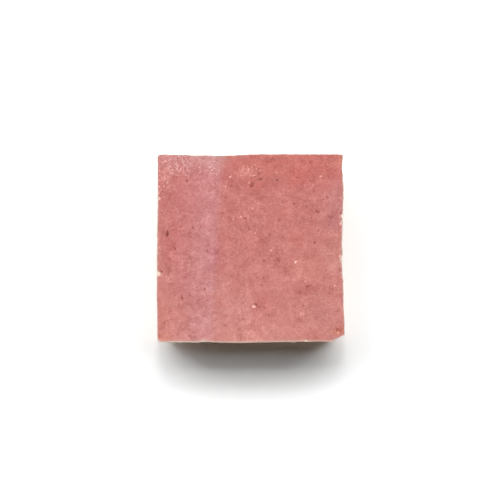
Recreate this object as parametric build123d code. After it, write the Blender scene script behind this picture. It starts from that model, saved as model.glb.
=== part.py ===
from build123d import *
from dataclasses import dataclass
import math
import os

# Square zellige tile: one piece of fired clay, glazed on its face and cut to size by hand.
# Millimetres. The glazed face looks up (+Z) and the back lies on Z = 0.
# The origin is the middle of the back. East is +X and north is +Y.

# Glazed face and body
face_width = 99.8
face_length = 100.9
thickness = 11.0

# Worn rim of the face: how far it steps down, and how far in on each side
rim_drop = 0.75
rim_west = 0.28
rim_east = 0.36
rim_north = 0.30
rim_south = 0.72

# Corners of the face. The south-east one is struck off obliquely.
radius_north_west = 1.6
radius_north_east = 0.8
radius_south_west = 2.1
cut_along_south = 5.8
cut_along_east = 3.9

# Cut sides: an upright band under the rim, then a bevel knocked back to the base by
# a run of hammer blows, each a shallow round scar that bites a little more or less
band_height = 2.4
undercut = 3.6
scar_radius = 46.0
blow_spacing = 14.0
blow_bites = (0.0, 0.35, 0.10, 0.50, 0.20)

# Height of each of the gentle waves in the glazed face, and the spacing of the points
# that carry them
swell_long = 0.16
swell_cross = 0.12
swell_short = 0.07
swell_patch = 9.0
top_clearance = 0.3

# Hand-cut sides: each pair is a share of the side, counted from its south or west end,
# and how far the edge stands out beyond the straight side there
west_edge = ((0.10, 0.05), (0.27, 0.28), (0.52, 0.12), (0.68, -0.12), (0.77, -0.31), (0.92, -0.15))
north_edge = ((0.05, 0.09), (0.18, -0.29), (0.32, -0.56), (0.43, -0.34), (0.50, 0.14), (0.95, 0.24))
south_edge = ((0.18, 0.19), (0.27, -0.02), (0.39, 0.41), (0.53, 0.25), (0.76, -0.24), (0.88, -0.30))
east_edge = (
    (0.085, 0.85),
    (0.20, 0.36),
    (0.32, 0.07),
    (0.41, -0.50),
    (0.53, -0.54),
    (0.66, -0.20),
    (0.81, 0.34),
    (0.92, -0.42),
)

# Flakes lost from the rim: a share of the side, then the flake's length along the rim,
# its reach over the face and its depth at the rim
west_flakes = ((0.363, 2.9, 2.0, 0.90), (0.765, 2.6, 0.6, 0.85))
north_flakes = ((0.205, 7.0, 0.6, 0.95), (0.87, 2.2, 0.6, 0.85))
south_flakes = ((0.25, 8.0, 1.1, 1.10), (0.80, 2.2, 1.2, 1.00))
east_flakes = (
    (0.37, 1.7, 0.8, 0.80),
    (0.44, 5.6, 1.1, 1.10),
    (0.64, 1.9, 1.0, 0.80),
    (0.672, 2.1, 1.3, 0.90),
)


@dataclass
class Wave:
    """One wave of the face: its height, its cycles across the face each way, its phase."""

    height: float
    cycles_east: float
    cycles_north: float
    phase_degrees: float

    def rise(self, x, y):
        """How far the wave lifts the face at a place."""
        turns = self.cycles_east * x / face_width + self.cycles_north * y / face_length
        return self.height * math.cos(2 * math.pi * turns + math.radians(self.phase_degrees))


@dataclass
class Side:
    """One cut side of the face, from its south or west corner onwards."""

    start: Vector
    along: Vector
    outward: Vector
    length: float
    rim: float
    edge: tuple
    flakes: tuple

    def point(self, share, out, height):
        """A point at a share of the side, standing out from it, at a height."""
        return self.start + self.along * (share * self.length) + self.outward * out + Vector(0, 0, height)

    def stand_out(self, share):
        """How far the hand-cut edge stands out at a share of the side."""
        knots = ((0.0, 0.0),) + self.edge + ((1.0, 0.0),)
        for (share_a, out_a), (share_b, out_b) in zip(knots, knots[1:]):
            if share <= share_b:
                return out_a + (out_b - out_a) * (share - share_a) / (share_b - share_a)
        return 0.0


face_waves = (
    Wave(swell_long, cycles_east=0.9, cycles_north=0.08, phase_degrees=81),
    Wave(swell_cross, cycles_east=-0.3, cycles_north=1.3, phase_degrees=-60),
    Wave(swell_short, cycles_east=1.7, cycles_north=-1.3, phase_degrees=0),
)

east = Vector(1, 0, 0)
north = Vector(0, 1, 0)
south_west = Vector(-face_width / 2, -face_length / 2, 0)
south_east = south_west + east * face_width
north_west = south_west + north * face_length
west_side = Side(south_west, north, -east, face_length, rim_west, west_edge, west_flakes)
east_side = Side(south_east, north, east, face_length, rim_east, east_edge, east_flakes)
south_side = Side(south_west, east, -north, face_width, rim_south, south_edge, south_flakes)
north_side = Side(north_west, east, north, face_width, rim_north, north_edge, north_flakes)
sides = (south_side, east_side, north_side, west_side)

rim_foot = thickness - rim_drop
bevel_top = rim_foot - band_height
swell_reach = sum(wave.height for wave in face_waves)
blank_height = thickness + swell_reach + top_clearance
lid_height = 2 * (swell_reach + top_clearance)


def rim_section(height, steps_in):
    """The outline at a height. steps_in is 0 at the foot of the rim and 1 at the face."""

    def edge_points(side):
        return [side.point(share, out - steps_in * side.rim, height) for share, out in side.edge]

    def corner(side, share, other):
        return side.point(share, -steps_in * side.rim, height) - other.outward * (steps_in * other.rim)

    last_south_out = south_edge[-1][1]
    first_east_out = east_edge[0][1]
    cut_south = south_side.point(
        1 - cut_along_south / face_width, last_south_out - steps_in * rim_south, height
    )
    cut_east = east_side.point(
        cut_along_east / face_length, first_east_out - steps_in * rim_east, height
    )
    rounded_runs = (
        ([(corner(south_side, 0, west_side), radius_south_west)], edge_points(south_side)),
        ([(cut_south, 0), (cut_east, 0)], edge_points(east_side)),
        ([(corner(north_side, 1, east_side), radius_north_east)], edge_points(north_side)[::-1]),
        ([(corner(north_side, 0, west_side), radius_north_west)], edge_points(west_side)[::-1]),
    )
    points = []
    radii = []
    for corner_points, run in rounded_runs:
        for point, radius in corner_points:
            points.append(point)
            radii.append(radius)
        points.extend(run)
        radii.extend([0] * len(run))
    return make_face(FilletPolyline(*points, radius=radii, close=True))


def face_height(x, y):
    """Height of the glazed face at a place."""
    return thickness + sum(wave.rise(x, y) for wave in face_waves)


def spread(length):
    """Places of the swell's points along one direction, past both ends of the face."""
    count = math.ceil(length / swell_patch) + 2
    return [(index / (count - 1) - 0.5) * (length + 2 * swell_patch) for index in range(count)]


def lid_over_face():
    """What lies above the glazed face, to be taken off the blank."""
    points = [
        [Vector(x, y, face_height(x, y)) for x in spread(face_width)] for y in spread(face_length)
    ]
    face = Face.make_surface_from_array_of_points(points)
    return extrude(face, amount=lid_height, dir=(0, 0, 1))


def blow_scar(side, share, bite):
    """The round scar of one blow, from the foot of the upright band in to the base."""
    out = side.stand_out(share)
    band_foot = side.point(share, out, bevel_top)
    base_edge = side.point(share, out - undercut - bite, 0)
    chord = band_foot - base_edge
    away = chord.cross(side.along).normalized()
    if away.dot(side.outward) < 0:
        away = -away
    reach = math.sqrt(scar_radius**2 - (chord.length / 2) ** 2)
    centre = (band_foot + base_edge) * 0.5 + away * reach
    heading = math.degrees(math.atan2(side.outward.Y, side.outward.X))
    return Pos(*centre) * Rot(0, 0, heading) * Sphere(scar_radius)


def side_scars(side, first_bite):
    """The run of blows along one side, evenly spaced, biting unevenly."""
    count = max(1, round(side.length / blow_spacing))
    return [
        blow_scar(side, (index + 0.5) / count, blow_bites[(first_bite + index) % len(blow_bites)])
        for index in range(count)
    ]


def rim_flake(side, share, length, reach, depth):
    """A shell-shaped flake: a sphere that meets the face in a round print."""
    print_radius = (length**2 / 4 + reach**2) / (2 * reach)
    lift = (length**2 / 4 - depth**2) / (2 * depth)
    out = side.stand_out(share) + print_radius - reach
    centre = side.point(share, out, thickness + lift)
    return Pos(*centre) * Sphere(math.hypot(print_radius, lift))


steps_at_top = (blank_height - rim_foot) / rim_drop
blank = loft(
    [rim_section(0, 0), rim_section(rim_foot, 0), rim_section(blank_height, steps_at_top)],
    ruled=True,
)
tile = blank - lid_over_face()
for side_number, side in enumerate(sides):
    for scar in side_scars(side, 2 * side_number):
        tile -= scar
    for flake in side.flakes:
        tile -= rim_flake(side, *flake)

# The hand-cut edges stand out unevenly, so the middle of the whole is found and set on the origin
middle = tile.bounding_box().center()
tile = Pos(-middle.X, -middle.Y, 0) * tile

os.makedirs("parts", exist_ok=True)
export_step(tile, "parts/zellige_tile.step")
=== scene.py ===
"""Looks of a square hand-cut zellige tile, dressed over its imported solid.

The tile is one fired piece, so it is one skin here: a gently waved pink glazed face, a worn rim
with small chips that bare the clay, cut clay sides and a flat clay back. Lengths are in metres.
The glazed face looks up (+Z) and north, the top of the picture, is +Y.
"""

import functools
import itertools
import logging
import math
from dataclasses import dataclass, field
from enum import Enum
from typing import Optional, Union

import bpy
import numpy as np
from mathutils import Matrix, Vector
from mathutils.bvhtree import BVHTree
from mathutils.geometry import delaunay_2d_cdt


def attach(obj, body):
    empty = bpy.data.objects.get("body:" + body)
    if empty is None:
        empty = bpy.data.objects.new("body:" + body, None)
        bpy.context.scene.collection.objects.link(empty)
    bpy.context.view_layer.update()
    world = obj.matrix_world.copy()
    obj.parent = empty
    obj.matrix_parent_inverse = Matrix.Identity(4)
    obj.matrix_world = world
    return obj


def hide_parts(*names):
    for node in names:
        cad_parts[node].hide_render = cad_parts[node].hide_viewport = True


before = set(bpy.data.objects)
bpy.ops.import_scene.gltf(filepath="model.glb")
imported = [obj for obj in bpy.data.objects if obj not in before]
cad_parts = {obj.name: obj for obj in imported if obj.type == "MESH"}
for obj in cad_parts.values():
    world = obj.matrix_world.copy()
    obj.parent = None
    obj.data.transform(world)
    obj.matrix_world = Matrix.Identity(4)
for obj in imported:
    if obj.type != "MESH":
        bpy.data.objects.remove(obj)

log = logging.getLogger("zellige")

MM = 0.001
NODE = "zellige_tile"
BODY = "root"

# Attributes that the skin carries for its relief and its finish
RIM = "rim_distance"
HAND_PIT = "hand_pit"
PIT = "pit"
GLINT = "glint"
CHIP = "chip"
UV_NAME = "OFBake"

# The way that a shifted pattern moves
SHIFT_WAY = (1.0, 0.7, 0.3)

Socket = bpy.types.NodeSocket
Feed = Union[float, int, bool, tuple, str, Socket, bpy.types.Material, None]
Colour = tuple[float, float, float]


# Wiring of node trees


@dataclass
class Wiring:
    """Adds nodes to one node tree and wires them together.

    It serves shader trees and geometry trees alike, because they share their maths nodes. Its
    patterns are read at its place, which the tree's builder sets before it asks for one.
    """

    tree: bpy.types.NodeTree
    place: Feed = None

    @classmethod
    def fresh(cls, owner: Union[bpy.types.Material, bpy.types.World]) -> "Wiring":
        """Empties the node tree of a material or a world.

        Args:
            owner: the material or world.

        Returns:
            The tree's wiring.
        """
        owner.use_nodes = True
        owner.node_tree.nodes.clear()
        return cls(owner.node_tree)

    def add(self, kind: str, feeds: dict[Union[str, int], Feed], **settings: object) -> bpy.types.Node:
        """Adds a node.

        Args:
            kind: the node's type name.
            feeds: an output or a plain value for each input named or numbered. None changes nothing.
            settings: the node's own settings.

        Returns:
            The new node.
        """
        node = self.tree.nodes.new(kind)
        for name, value in settings.items():
            setattr(node, name, value)
        for key, value in feeds.items():
            if isinstance(value, Socket):
                self.tree.links.new(value, node.inputs[key])
            elif value is not None:
                node.inputs[key].default_value = value
        return node

    def maths(self, operation: str, *values: Feed, clamp: bool = False) -> Socket:
        """Works on plain numbers.

        Args:
            operation: the name of the operation, such as "DIVIDE".
            values: one to three numbers or sockets.
            clamp: whether the result is held between 0 and 1.

        Returns:
            The result.
        """
        node = self.add("ShaderNodeMath", dict(enumerate(values)), operation=operation, use_clamp=clamp)
        return node.outputs[0]

    def times(self, *values: Feed) -> Socket:
        """The product of two or more numbers."""
        return functools.reduce(functools.partial(self.maths, "MULTIPLY"), values)

    def plus(self, *values: Feed) -> Socket:
        """The sum of two or more numbers."""
        return functools.reduce(functools.partial(self.maths, "ADD"), values)

    def vector(self, operation: str, *values: Feed, scale: Feed = None) -> Socket:
        """Works on vectors.

        Args:
            operation: the name of the operation, such as "ADD" or "DISTANCE".
            values: vectors or sockets.
            scale: the factor of a "SCALE".

        Returns:
            The resulting vector, or number where the operation measures something.
        """
        feeds = {**dict(enumerate(values)), "Scale": scale}
        node = self.add("ShaderNodeVectorMath", feeds, operation=operation)
        measured = operation in ("LENGTH", "DISTANCE", "DOT_PRODUCT")
        return node.outputs["Value" if measured else "Vector"]

    def ramp(self, value: Feed, low: Feed, high: Feed, at_low: Feed = 0.0, at_high: Feed = 1.0) -> Socket:
        """Goes smoothly from one value to another while its input goes from low to high.

        Args:
            value: the input.
            low: where the way begins.
            high: where the way ends.
            at_low: the value up to low.
            at_high: the value past high.

        Returns:
            The value on the way.
        """
        feeds = {"Value": value, "From Min": low, "From Max": high, "To Min": at_low, "To Max": at_high}
        node = self.add("ShaderNodeMapRange", feeds, interpolation_type="SMOOTHSTEP")
        return node.outputs["Result"]

    def noise(self, length: Feed, detail: float, roughness: float, shift: float) -> Socket:
        """A cloudy pattern, about 0.5 on average.

        Args:
            length: the size of its clouds in metres, as a number or a socket.
            detail: how many finer layers it has.
            roughness: how strong the finer layers are.
            shift: moves the pattern along, so that two of the same length differ.

        Returns:
            The pattern.
        """
        scale = self.maths("DIVIDE", 1.0, length) if isinstance(length, Socket) else 1.0 / length
        moved = self.vector("ADD", self.place, tuple(shift * part for part in SHIFT_WAY))
        feeds = {"Vector": moved, "Scale": scale, "Detail": detail, "Roughness": roughness}
        return self.add("ShaderNodeTexNoise", feeds, noise_dimensions="3D").outputs[0]

    def colour_mix(self, share: Feed, one: Feed, other: Feed) -> Socket:
        """Mixes two colours, share of the other one to the rest of the first, by socket number."""
        return self.add("ShaderNodeMix", {0: share, 6: one, 7: other}, data_type="RGBA").outputs[2]

    def number_mix(self, share: Feed, one: Feed, other: Feed) -> Socket:
        """Mixes two numbers, share of the other one to the rest of the first, by socket number."""
        return self.add("ShaderNodeMix", {0: share, 2: one, 3: other}, data_type="FLOAT").outputs[0]

    def stain(self, share: Feed, colour: Feed, tint: Colour) -> Socket:
        """Stains a colour with a tint, as far as the share goes."""
        return self.colour_mix(share, colour, self.vector("MULTIPLY", colour, tint))

    def carried(self, name: str) -> Socket:
        """A number that the skin carries, in a shader tree."""
        return self.add("ShaderNodeAttribute", {}, attribute_name=name).outputs["Fac"]


@dataclass(frozen=True)
class Fade:
    """A smooth way from one value to another, while what it reads goes from low to high."""

    low: float
    high: float
    at_low: float = 0.0
    at_high: float = 1.0

    def read(self, wiring: Wiring, value: Feed) -> Socket:
        """The value on the way."""
        return wiring.ramp(value, self.low, self.high, self.at_low, self.at_high)


@dataclass(frozen=True)
class Mottle:
    """A cloudy pattern, and the fade that reads it. Without one it is read as it is."""

    length: float
    detail: float
    roughness: float
    shift: float
    fade: Optional[Fade] = None

    def read(self, wiring: Wiring) -> Socket:
        """The pattern, faded."""
        pattern = wiring.noise(self.length, self.detail, self.roughness, self.shift)
        return self.fade.read(wiring, pattern) if self.fade else pattern


def opaque(colour: Colour) -> tuple[float, float, float, float]:
    """A colour with full alpha."""
    return (*colour, 1.0)


# Shape of the tile


@dataclass(frozen=True)
class Wave:
    """One wave of the glazed face: its height, its cycles across the face and its phase."""

    height: float
    cycles_east: float
    cycles_north: float
    phase_degrees: float

    def rise(self, share_east: np.ndarray, share_north: np.ndarray) -> np.ndarray:
        """How far the wave lifts the face at places given as shares of its two sizes."""
        turns = self.cycles_east * share_east + self.cycles_north * share_north
        return self.height * np.cos(2 * math.pi * turns + math.radians(self.phase_degrees))


@dataclass(frozen=True)
class GlazedFace:
    """The gently waved plane of the glazed face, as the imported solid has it."""

    width: float = 99.8 * MM
    length: float = 100.9 * MM
    height: float = 11.0 * MM
    middle_east: float = -0.28 * MM
    middle_north: float = 0.09 * MM
    waves: tuple[Wave, ...] = (
        Wave(0.16 * MM, 0.9, 0.08, 81.0),
        Wave(0.12 * MM, -0.3, 1.3, -60.0),
        Wave(0.07 * MM, 1.7, -1.3, 0.0),
    )

    @property
    def middle(self) -> np.ndarray:
        """The x and y of its middle."""
        return np.array((self.middle_east, self.middle_north))

    def rise(self, places: np.ndarray) -> np.ndarray:
        """Height of the face.

        Args:
            places: places with their x and y in the last axis.

        Returns:
            The height at each place.
        """
        east = (places[..., 0] - self.middle_east) / self.width
        north = (places[..., 1] - self.middle_north) / self.length
        return self.height + sum(wave.rise(east, north) for wave in self.waves)


@dataclass
class PackedSolid:
    """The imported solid, felt from outside with straight probes."""

    tree: BVHTree
    probe_reach: float = 60 * MM

    @classmethod
    def of_node(cls, node: bpy.types.Object) -> "PackedSolid":
        """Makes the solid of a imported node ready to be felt.

        Args:
            node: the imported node's object.

        Returns:
            The solid.
        """
        corners = [vertex.co.copy() for vertex in node.data.vertices]
        faces = [tuple(face.vertices) for face in node.data.polygons]
        return cls(BVHTree.FromPolygons(corners, faces))

    def top(self, place: np.ndarray) -> float:
        """Height of the solid under a place, or 0 beside it."""
        hit = self.tree.ray_cast(Vector((place[0], place[1], self.probe_reach)), Vector((0, 0, -1)))[0]
        return hit.z if hit else 0.0

    def flank(self, inside: np.ndarray, outward: np.ndarray, height: float) -> np.ndarray:
        """Where a level probe from outside meets the solid.

        Args:
            inside: a place inside the outline.
            outward: the level unit direction that the probe comes from.
            height: the probe's height.

        Returns:
            The x and y of the point that it meets.
        """
        start = inside + outward * self.probe_reach
        probe = Vector((-outward[0], -outward[1], 0))
        hit = self.tree.ray_cast(Vector((start[0], start[1], height)), probe)[0]
        return np.array((hit.x, hit.y))


@dataclass(frozen=True)
class Mark:
    """A pit or glint of the glaze: its place and radius in millimetres, and its strength."""

    x: float
    y: float
    radius: float
    strength: float

    def shade(self, places: np.ndarray, stretch: float, turn: float) -> np.ndarray:
        """How much of the mark each place has, from its full strength evenly down to 0 at its rim.

        Args:
            places: the places, with their x and y first.
            stretch: how much longer than wide the mark is.
            turn: the way that it is long, in radians from the east.

        Returns:
            The shares.
        """
        east = places[:, 0] / MM - self.x
        north = places[:, 1] / MM - self.y
        along = (east * math.cos(turn) + north * math.sin(turn)) / math.sqrt(stretch)
        across = (north * math.cos(turn) - east * math.sin(turn)) * math.sqrt(stretch)
        return self.strength * np.clip(1.0 - np.hypot(along, across) / self.radius, 0.0, 1.0)


# Dark pinholes and dents that stand out in the glaze
PITS = tuple(
    Mark(*pit)
    for pit in (
        (-44.8, 7.9, 1.9, 1.05), (-40.8, 0.5, 1.5, 0.6), (-36.9, -26.7, 1.7, 0.6),
        (-32.8, -25.2, 1.1, 1.1), (-13.6, -41.4, 1.4, 0.45),
        (-4.2, -37.7, 1.2, 0.6), (-2.8, 16.3, 1.3, 0.8), (15.4, 15.4, 1.6, 0.45), (35.9, 19.8, 1.7, 0.65),
        (42.9, 17.2, 2.3, 0.55), (10.1, 7.3, 1.2, 1.1), (17.3, 6.1, 1.0, 0.6), (14.9, -6.2, 2.3, 0.65),
        (7.2, -6.7, 1.2, 0.65), (26.7, -23.7, 2.8, 0.32), (30.9, -20.2, 3.0, 0.45), (28.3, -31.0, 1.2, 0.7),
        (34.3, 3.2, 1.2, 0.8), (36.2, 9.5, 1.2, 0.55),
        (0.6, 34.2, 2.1, 0.9), (4.4, 40.3, 1.0, 1.0), (2.7, 38.4, 1.0, 0.5), (5.3, 37.3, 1.4, 1.1),
        (14.3, 36.8, 1.1, 1.1), (25.6, 38.3, 2.2, 0.35), (41.2, 27.4, 1.4, 0.5), (23.5, 24.0, 1.2, 0.8),
        (-34.2, 36.4, 1.2, 0.8), (-13.4, 27.5, 1.1, 0.7), (-15.1, 18.8, 1.2, 0.5),
        (-31.1, 11.2, 1.2, 0.75), (-23.7, -1.3, 1.2, 0.6), (-24.6, -21.8, 1.1, 0.85),
        (-46.2, -39.8, 1.6, 0.5), (-47.7, -12.4, 0.9, 1.0), (2.6, -30.0, 1.6, 0.75),
        (10.0, -36.3, 1.1, 0.7), (42.4, -24.0, 1.1, 0.4), (46.6, -43.4, 1.8, 0.6), (48.3, -44.0, 1.0, 0.6),
        (48.3, 19.2, 1.0, 1.25),
    )
)

# Small bright points, where a raised grain or the lip of a pit catches the light. The relief raises
# them a little; their brightness is a painted highlight in the glaze's colour.
GLINTS = tuple(
    Mark(*glint)
    for glint in (
        (24.2, -7.3, 0.85, 1.0), (11.0, -1.0, 0.75, 0.7), (1.7, -31.3, 1.1, 0.9), (-5.3, 17.1, 0.8, 0.5),
        (-10.9, 38.5, 0.8, 0.7), (-20.8, 42.3, 0.8, 0.6), (-20.1, 34.4, 0.7, 0.4), (-13.4, 33.2, 0.7, 0.5),
        (-39.3, 44.5, 0.9, 0.6), (-45.8, 47.1, 0.9, 0.5), (-1.2, 42.5, 0.9, 0.5), (2.5, 8.1, 0.8, 0.4),
        (0.9, 21.5, 0.8, 0.4), (-9.3, 15.6, 0.8, 0.4), (-27.6, 43.5, 0.8, 0.4), (29.4, -17.7, 0.8, 0.4),
        (5.2, 41.9, 0.8, 0.35), (16.5, 23.7, 0.7, 0.4),
        (-49.0, 27.0, 1.0, 0.7), (-49.4, 29.6, 0.8, 0.6), (-49.4, 33.2, 0.8, 0.5), (-48.8, 39.4, 0.7, 0.4),
        (37.8, 38.8, 0.7, 0.6), (45.2, -20.1, 0.7, 0.6), (-0.7, 35.3, 0.7, 0.5), (48.9, 18.0, 0.8, 1.0),
        (13.9, 40.7, 0.7, 0.4), (20.1, 44.8, 0.7, 0.4), (33.6, 34.0, 0.7, 0.4), (-33.2, -8.9, 0.7, 0.4),
        (-2.5, -29.8, 0.7, 0.4), (-45.4, -42.0, 0.8, 0.4),
        (47.0, -45.4, 0.8, 0.5), (48.7, 13.6, 1.3, 0.85), (49.3, 9.8, 0.9, 0.6), (48.2, -4.2, 1.2, 0.7),
        (48.7, -6.8, 1.1, 0.7),
    )
)


@dataclass(frozen=True)
class MapPatch:
    """A rectangle of the skin's map. A face patch shows a square of the tile of its tile size."""

    left: float
    low: float
    width: float
    height: float
    tile_size: float = 102.4 * MM

    def spot(self, places: np.ndarray) -> np.ndarray:
        """Map places of points given by their x and y on the tile."""
        return self.share(places / self.tile_size + 0.5)

    def share(self, shares: np.ndarray) -> np.ndarray:
        """Map places of points given as shares of the patch."""
        return np.array((self.left, self.low)) + shares * np.array((self.width, self.height))


FACE_PATCH = MapPatch(0.004, 0.004, 0.716, 0.716)
BACK_PATCH = MapPatch(0.728, 0.004, 0.268, 0.268)
SIDE_PATCHES = tuple(MapPatch(0.004, 0.728 + 0.067 * number, 0.716, 0.062) for number in range(4))


@dataclass
class TileSkin:
    """The tile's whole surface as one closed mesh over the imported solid.

    A fine square net covers the middle of the face. From its border run columns of points, out
    over the face to the crest where the glaze ends, down the worn rim, down the cut side and to
    the edge of the back, which a loose net of triangles closes.
    """

    solid: PackedSolid
    face: GlazedFace
    net_cells: int = 200
    net_margin: float = 6.5 * MM
    net_tightening: float = 0.35
    face_rings: int = 16
    ring_growth: float = 1.5
    rim_steps: int = 3
    side_rows: int = 18
    row_growth: float = 1.15
    outline_height: float = 9.6 * MM
    base_height: float = 0.05 * MM
    rim_inset: float = 0.02 * MM
    crest_depth: float = 0.05 * MM
    crest_step: float = 0.05 * MM
    crest_limit: float = 3.2 * MM
    crest_waver: float = 0.05 * MM
    worn_rims: tuple[float, ...] = (0.72 * MM, 0.36 * MM, 0.30 * MM, 0.28 * MM)
    chip_margin: float = 0.15 * MM
    back_spacing: float = 1.6 * MM
    back_scatter: float = 0.12
    back_clearance: float = 0.9 * MM
    back_middle: float = 33.0 * MM
    back_weld: float = 1e-6
    most_stretch: float = 1.7
    seed: int = 11
    points: np.ndarray = field(init=False)
    rim: np.ndarray = field(init=False)
    chip: np.ndarray = field(init=False)
    polygons: list = field(init=False, default_factory=list)
    maps: list = field(init=False, default_factory=list)

    def build(self, name: str) -> bpy.types.Object:
        """Builds the skin.

        Args:
            name: the name of its object.

        Returns:
            The object, with its attributes and its map.
        """
        net = self._net()
        border = self._border()
        inner = net[border, :2]
        columns, rims, chips = self._columns(inner, self._outward(inner))
        back = self._back_points(columns[-1])
        self.points = np.concatenate((net, columns.reshape(-1, 3), back))
        net_rim = np.full(len(net), self.net_margin)
        self.rim = np.concatenate((net_rim, rims.reshape(-1), np.full(len(back), rims[-1].min())))
        self.chip = np.concatenate((np.zeros(len(net)), np.tile(chips, len(columns)), np.zeros(len(back))))
        outside = len(net) + np.arange(rims.size).reshape(rims.shape)
        self._cover_net()
        self._cover_columns(np.vstack((border, outside)))
        self._cover_back(outside[-1])
        return self._object(name)

    def _ticks(self, half: float) -> np.ndarray:
        """Places the net's lines either side of the middle, closer together near the border.

        Args:
            half: half the net's size.

        Returns:
            Their places.
        """
        share = np.linspace(-1.0, 1.0, self.net_cells + 1)
        rounded = np.sin(share * math.pi / 2)
        return half * ((1 - self.net_tightening) * share + self.net_tightening * rounded)

    def _net(self) -> np.ndarray:
        """Lays the net over the middle of the face.

        Returns:
            Its points, row by row from the south-west.
        """
        east = self._ticks(self.face.width / 2 - self.net_margin) + self.face.middle_east
        north = self._ticks(self.face.length / 2 - self.net_margin) + self.face.middle_north
        places = np.stack(np.meshgrid(east, north), axis=-1).reshape(-1, 2)
        return np.column_stack((places, self.face.rise(places)))

    def _border(self) -> np.ndarray:
        """Walks round the net's border.

        Returns:
            The numbers of its points, anticlockwise from the south-west corner.
        """
        side = self.net_cells
        line = np.arange(side)
        width = side + 1
        sides = (line, line * width + side, side * width + side - line, (side - line) * width)
        return np.concatenate(sides)

    def _outward(self, inner: np.ndarray) -> np.ndarray:
        """Aims the columns at the outline, at 45 degrees in the corners.

        Args:
            inner: the net's border points.

        Returns:
            The level unit direction from each.
        """
        half = np.array((self.face.width, self.face.length)) / 2
        way = (inner - self.face.middle) * (half / (half - self.net_margin) - 1)
        return way / np.linalg.norm(way, axis=1, keepdims=True)

    def _crest(self, outline: np.ndarray, outward: np.ndarray) -> float:
        """Feels how far inside the outline the worn rim or a chip ends and the glazed face begins.

        Args:
            outline: a point of the outline.
            outward: the level unit direction out through it.

        Returns:
            The distance.
        """
        away = self.crest_limit
        while away > self.crest_step:
            place = outline - outward * away
            if self.face.rise(place) - self.solid.top(place) > self.crest_depth:
                break
            away -= self.crest_step
        return away + self.crest_step / 2

    def _waver(self, count: int) -> np.ndarray:
        """A small uneven wander along the crest, as a broken glaze edge has."""
        draws = np.random.default_rng(self.seed).uniform(-1, 1, count)
        return self.crest_waver * (draws + np.roll(draws, 1) + np.roll(draws, -1)) / 2

    def _chips(self, crest: np.ndarray) -> np.ndarray:
        """How far each column runs over a chip, 0 to 1, because its crest lies deeper in than the rim."""
        worn = np.repeat(self.worn_rims, len(crest) // len(self.worn_rims))
        return np.clip((crest - worn) / self.chip_margin - 1, 0.0, 1.0)

    def _columns(
        self, inner: np.ndarray, outward: np.ndarray
    ) -> tuple[np.ndarray, np.ndarray, np.ndarray]:
        """Lays rings of points from the net's border to the edge of the back.

        Args:
            inner: the net's border points.
            outward: the direction of each column.

        Returns:
            The points as rings by columns, each point's distance inside the crest, negative
            outside it, and how far each column runs over a chip.
        """
        outline = self._flanks(inner, outward, np.full(len(inner), self.outline_height))
        crest = np.array([self._crest(p, o) for p, o in zip(outline, outward)])
        chips = self._chips(crest)
        crest = np.maximum(crest + self._waver(len(crest)), self.rim_steps * self.rim_inset)
        reach = np.linalg.norm(outline - inner, axis=1)
        points = []
        rims = []
        for ring in range(self.face_rings - 1, -1, -1):
            inside = (reach - crest) * (ring / self.face_rings) ** self.ring_growth
            places = outline - outward * (crest + inside)[:, None]
            points.append(np.column_stack((places, self.face.rise(places))))
            rims.append(inside)
        for step in range(self.rim_steps - 1, -1, -1):
            away = self.rim_inset + (crest - self.rim_inset) * step / self.rim_steps
            places = outline - outward * away[:, None]
            tops = np.array([self.solid.top(place) for place in places])
            points.append(np.column_stack((places, np.minimum(tops, self.face.rise(places)))))
            rims.append(away - crest)
        shoulder = points[-1][:, 2]
        for row in range(1, self.side_rows + 1):
            heights = shoulder * (1 - (row / self.side_rows) ** self.row_growth)
            places = self._flanks(inner, outward, np.maximum(heights, self.base_height))
            points.append(np.column_stack((places, heights)))
            rims.append(heights - shoulder - crest)
        return np.array(points), np.array(rims), chips

    def _flanks(self, inner: np.ndarray, outward: np.ndarray, heights: np.ndarray) -> np.ndarray:
        """Where each column meets the solid's side at a height of its own."""
        return np.array([self.solid.flank(i, o, height) for i, o, height in zip(inner, outward, heights)])

    def _cover(self, corners: list[int], spots: np.ndarray) -> None:
        """Adds a face, and where its corners lie on the map."""
        self.polygons.append(corners)
        self.maps.extend(spots)

    def _cover_net(self) -> None:
        """Fills the net with quads."""
        width = self.net_cells + 1
        for row in range(self.net_cells):
            for line in range(self.net_cells):
                corner = row * width + line
                quad = [corner, corner + 1, corner + width + 1, corner + width]
                self._cover(quad, FACE_PATCH.spot(self.points[quad, :2]))

    def _cover_columns(self, rings: np.ndarray) -> None:
        """Joins ring to ring with quads, out over the face, down the rim and down the sides.

        Args:
            rings: the point numbers of the net's border and of each ring outside it.
        """
        first_side_ring = self.face_rings + self.rim_steps
        for ring, (upper, lower) in enumerate(itertools.pairwise(rings.tolist())):
            for column in range(len(upper)):
                after = (column + 1) % len(upper)
                quad = [upper[column], lower[column], lower[after], upper[after]]
                if ring < first_side_ring:
                    self._cover(quad, FACE_PATCH.spot(self.points[quad, :2]))
                else:
                    self._cover(quad, self._side_map(column, len(upper), ring - first_side_ring))

    def _side_map(self, column: int, across: int, row: int) -> np.ndarray:
        """Finds a side quad's place on the map, on the strip of its own side.

        Args:
            column: the quad's column.
            across: how many columns there are.
            row: the quad's row, counted down from the rim.

        Returns:
            The map places of its four corners.
        """
        per_side = across // len(SIDE_PATCHES)
        left = (column % per_side) / per_side
        right = left + 1 / per_side
        upper = 1 - row / self.side_rows
        lower = upper - 1 / self.side_rows
        shares = np.array(((left, upper), (left, lower), (right, lower), (right, upper)))
        return SIDE_PATCHES[column // per_side].share(shares)

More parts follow.
